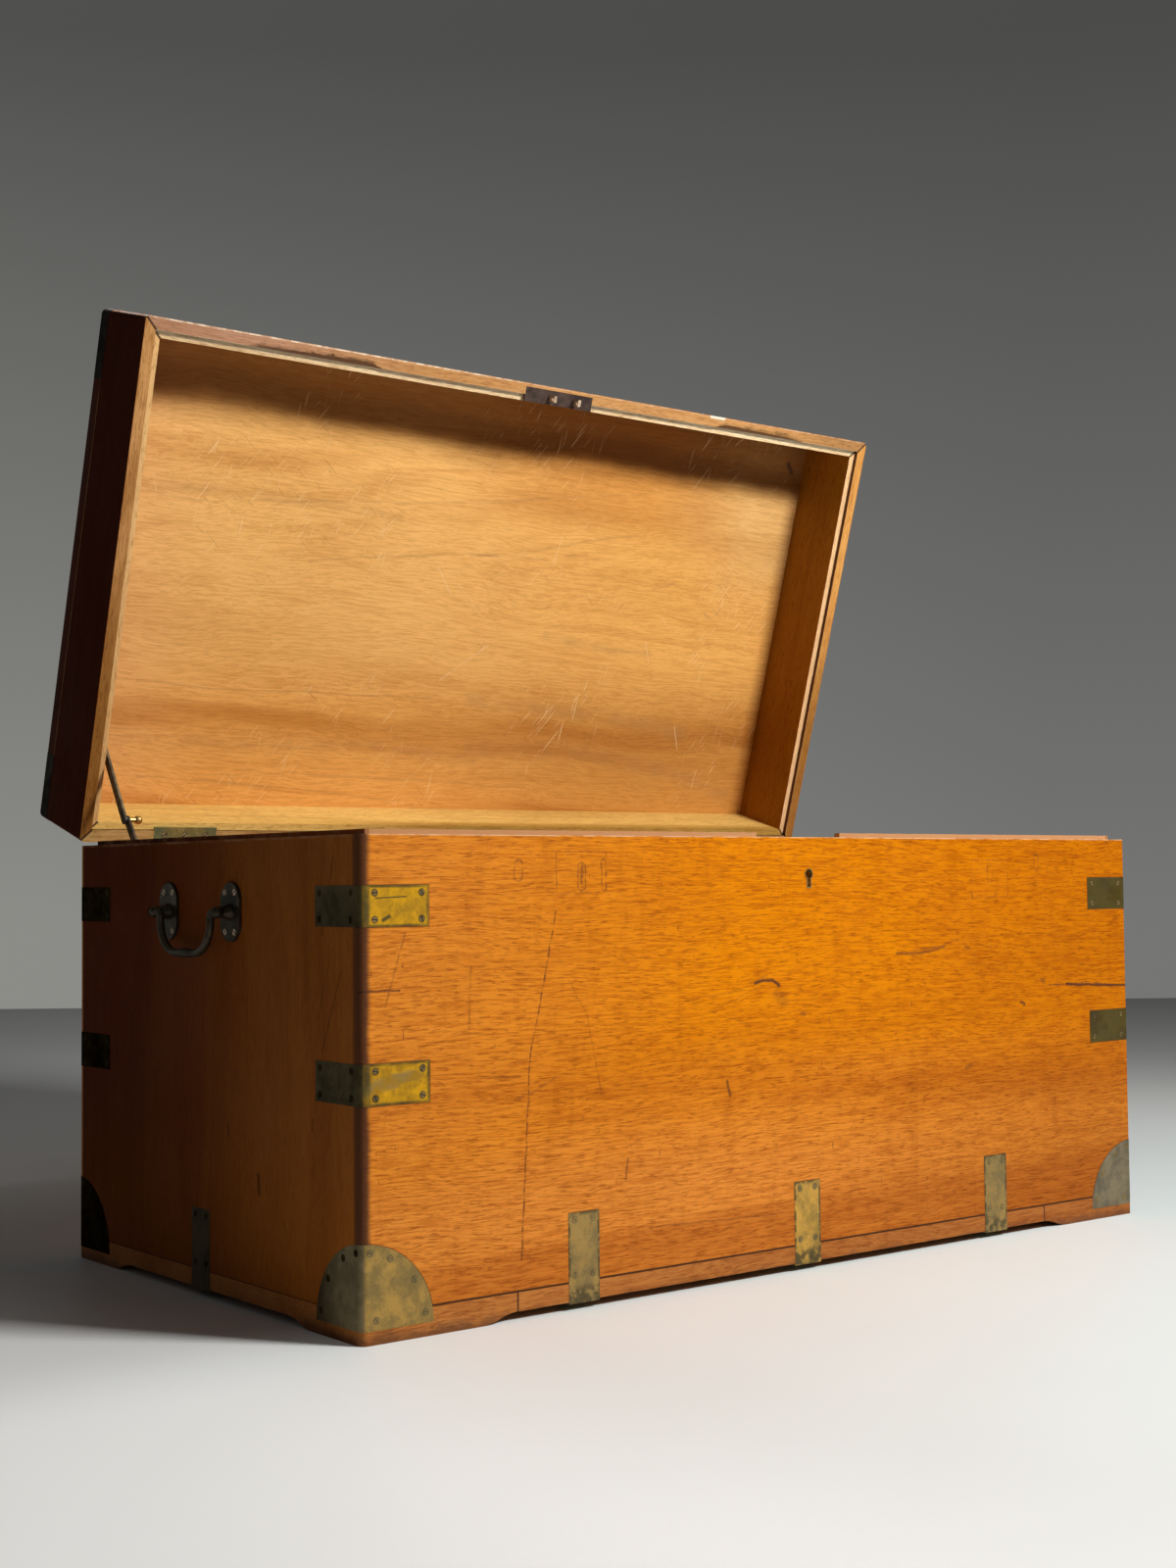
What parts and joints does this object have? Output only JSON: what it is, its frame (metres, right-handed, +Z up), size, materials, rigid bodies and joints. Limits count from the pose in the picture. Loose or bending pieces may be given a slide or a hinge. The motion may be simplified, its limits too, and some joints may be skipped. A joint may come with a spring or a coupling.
{
  "type": "campaign chest",
  "caption": "Low camphor-wood campaign chest with let-in brass straps and corners, drop handles, and a hinged lid held open by a folding brass stay.",
  "frame": {"origin": "on the floor, under the middle of the whole chest's box as it stands with its lid up; this is 50.875 mm behind the middle of the case", "axes": "+X to the right along the front, -Y towards the front, +Z up"},
  "size_m": [1.0428, 0.633, 0.9535],
  "materials": {
    "case_wood": "waxed, worn",
    "bottom_wood": "bare",
    "plinth_wood": "waxed, worn",
    "lid_wood": "waxed, worn",
    "aged_brass": "tarnished",
    "handle_brass": "tarnished",
    "hinge_brass": "tarnished",
    "bright_brass": "polished by use",
    "lock_iron": "dull"
  },
  "bodies": {
    "case": {"back_board": "case_wood", "base_strap_left_end": "aged_brass", "base_strap_right_end": "aged_brass", "base_straps_front": "aged_brass", "bottom_board": "bottom_wood", "corner_brass_back_left": "aged_brass", "corner_brass_back_right": "aged_brass", "corner_brass_front_left": "aged_brass", "corner_brass_front_right": "aged_brass", "edge_straps_back_left": "aged_brass", "edge_straps_back_right": "aged_brass", "edge_straps_front_left": "aged_brass", "edge_straps_front_right": "aged_brass", "fixing_screws_case": "lock_iron", "foot_back_left": "plinth_wood", "foot_back_right": "plinth_wood", "foot_front_left": "plinth_wood", "foot_front_right": "plinth_wood", "front_board": "case_wood", "handle_plates_left": "handle_brass", "handle_plates_right": "handle_brass", "handle_screws": "handle_brass", "hinge_centre_case_leaf": "hinge_brass", "hinge_left_case_leaf": "hinge_brass", "hinge_pins": "hinge_brass", "hinge_right_case_leaf": "hinge_brass", "hinge_screws_case": "hinge_brass", "keyhole_liner": "bright_brass", "left_board": "case_wood", "lock_case": "lock_iron", "plinth_back": "plinth_wood", "plinth_front": "plinth_wood", "plinth_left": "plinth_wood", "plinth_right": "plinth_wood", "right_board": "case_wood", "stay_case_plate": "bright_brass"},
    "lid": {"fixing_screws_lid": "lock_iron", "hinge_centre_lid_leaf": "hinge_brass", "hinge_left_lid_leaf": "hinge_brass", "hinge_right_lid_leaf": "hinge_brass", "hinge_screws_lid": "hinge_brass", "lid_brass_back_left": "aged_brass", "lid_brass_back_right": "aged_brass", "lid_brass_front_left": "aged_brass", "lid_brass_front_right": "aged_brass", "lid_panel": "lid_wood", "lid_rail_back": "lid_wood", "lid_rail_front": "lid_wood", "lid_rail_left": "lid_wood", "lid_rail_right": "lid_wood", "lock_link_plate": "lock_iron", "stay_lid_plate": "bright_brass"},
    "stay_upper": {"stay_upper_bar": "bright_brass"},
    "stay_lower": {"stay_lower_bar": "bright_brass", "stay_knob": "bright_brass"},
    "bail_left": {"handle_bail_left": "handle_brass"},
    "bail_right": {"handle_bail_right": "handle_brass"},
    "lock_bolt": {"lock_bolt": "lock_iron"}
  },
  "joints": [
    {"name": "lid_hinge", "type": "hinge", "parent": "case", "child": "lid", "pos_m": [0, 0.21813, 0.4127], "axis": [1, 0, 0], "range_deg": [0, 73.6]},
    {"name": "stay_upper_pivot", "type": "hinge", "parent": "lid", "child": "stay_upper", "pos_m": [-0.4758, 0.21953, 0.52622], "axis": [1, 0, 0], "range_deg": [-108.91, 0]},
    {"name": "stay_lower_pivot", "type": "hinge", "parent": "case", "child": "stay_lower", "pos_m": [-0.473, 0.10128, 0.35907], "axis": [1, 0, 0], "range_deg": [0, 100.98]},
    {"name": "bail_left_swing", "type": "hinge", "parent": "case", "child": "bail_left", "pos_m": [-0.516, -0.04387, 0.3475], "axis": [0, 1, 0], "range_deg": [0, 110]},
    {"name": "bail_right_swing", "type": "hinge", "parent": "case", "child": "bail_right", "pos_m": [0.516, -0.04387, 0.3475], "axis": [0, -1, 0], "range_deg": [0, 110]},
    {"name": "lock_bolt_slide", "type": "slide", "parent": "case", "child": "lock_bolt", "axis": [1, 0, 0], "range_m": [0, 0.009]}
  ],
  "couplings": [
    {"joint": "stay_upper_pivot", "follows": "lid_hinge", "ratio": -1.4729},
    {"joint": "stay_lower_pivot", "follows": "lid_hinge", "ratio": 1.3652}
  ]
}
